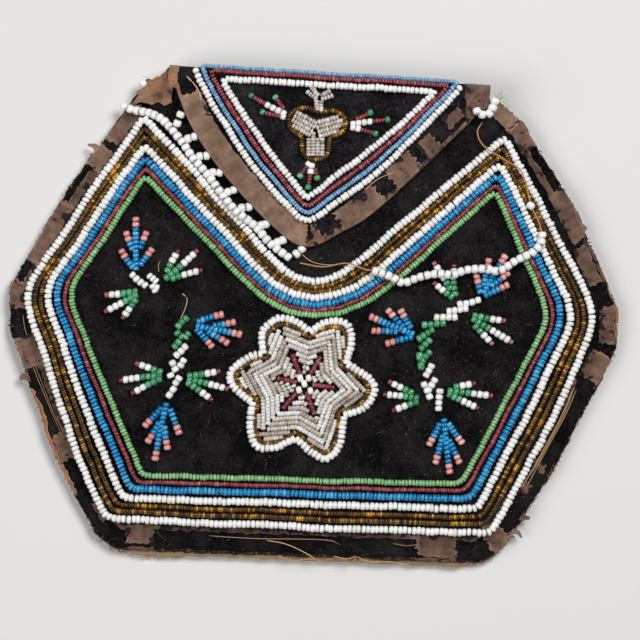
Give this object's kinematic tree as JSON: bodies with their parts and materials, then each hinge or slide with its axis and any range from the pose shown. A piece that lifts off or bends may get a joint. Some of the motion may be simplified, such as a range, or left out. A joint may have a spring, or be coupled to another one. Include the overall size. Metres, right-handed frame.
{
  "type": "beaded pouch",
  "caption": "Flat hexagonal black velvet pouch, its pointed flap folded over the mouth, with worn ribbon binding and rows, sprays and a flower sewn in seed beads.",
  "frame": {"origin": "On the flat back that the pouch rests on, at the middle of its width and 64 mm up from the hem.", "axes": "+X runs to the right across the face, +Y from the hem up to the mouth, +Z out of the face, away from what the pouch lies on."},
  "size_m": [0.1646, 0.1319, 0.0145],
  "materials": {
    "velvet": "worn cotton velvet, matt with a low pile",
    "linen": "plain woven tan linen, frayed at the cut edge",
    "lining": "plain woven cotton",
    "ribbon": "worn silk ribbon with a fine cross rib",
    "white_bead": "opaque white seed beads, glossy",
    "bronze_bead": "brown seed beads with a metallic gold lustre",
    "blue_bead": "translucent blue seed beads",
    "maroon_bead": "translucent dark red seed beads",
    "pale_green_bead": "pale yellow-green seed beads",
    "green_bead": "translucent green seed beads",
    "light_blue_bead": "milky light blue seed beads",
    "clear_bead": "greyish clear seed beads, tarnished inside"
  },
  "bodies": {
    "root": {"back_lining": "lining", "back_panel": "velvet", "corner_loop": "white_bead", "edge_binding": "ribbon", "face_row_blue": "blue_bead", "face_row_bronze_inner": "bronze_bead", "face_row_bronze_outer": "bronze_bead", "face_row_green": "pale_green_bead", "face_row_maroon": "maroon_bead", "face_row_white_inner": "white_bead", "face_row_white_outer": "white_bead", "flap": "velvet", "flap_binding": "ribbon", "flap_edging": "white_bead", "flap_lining": "lining", "flap_row_light_blue": "light_blue_bead", "flap_row_red": "maroon_bead", "flap_row_white_inner": "white_bead", "flap_row_white_outer": "white_bead", "flap_spray_left": "green_bead", "flap_spray_right": "green_bead", "flap_spray_tip": "green_bead", "flower_heart": "maroon_bead", "flower_outline_bronze": "bronze_bead", "flower_outline_white": "white_bead", "flower_petal_1": "clear_bead", "flower_petal_2": "clear_bead", "flower_petal_3": "clear_bead", "flower_petal_4": "clear_bead", "flower_petal_5": "clear_bead", "flower_petal_6": "clear_bead", "front_backing": "linen", "front_lining": "lining", "front_panel": "velvet", "left_bottom_spray": "blue_bead", "left_green_stem": "green_bead", "left_lower_sprig_left": "green_bead", "left_lower_sprig_right": "green_bead", "left_lower_stem": "white_bead", "left_side_spray": "blue_bead", "left_top_spray": "blue_bead", "left_upper_sprig_left": "green_bead", "left_upper_sprig_right": "green_bead", "left_upper_stem": "white_bead", "loose_strand": "white_bead", "mouth_binding": "ribbon", "right_bottom_spray": "blue_bead", "right_green_stem": "green_bead", "right_lower_sprig_left": "green_bead", "right_lower_sprig_right": "green_bead", "right_lower_stem": "white_bead", "right_side_spray": "blue_bead", "right_top_spray": "blue_bead", "right_upper_sprig_left": "green_bead", "right_upper_sprig_right": "green_bead", "right_upper_stem": "white_bead", "trefoil_leaf": "clear_bead", "trefoil_outline": "bronze_bead", "trefoil_petals": "clear_bead"}
  },
  "joints": []
}
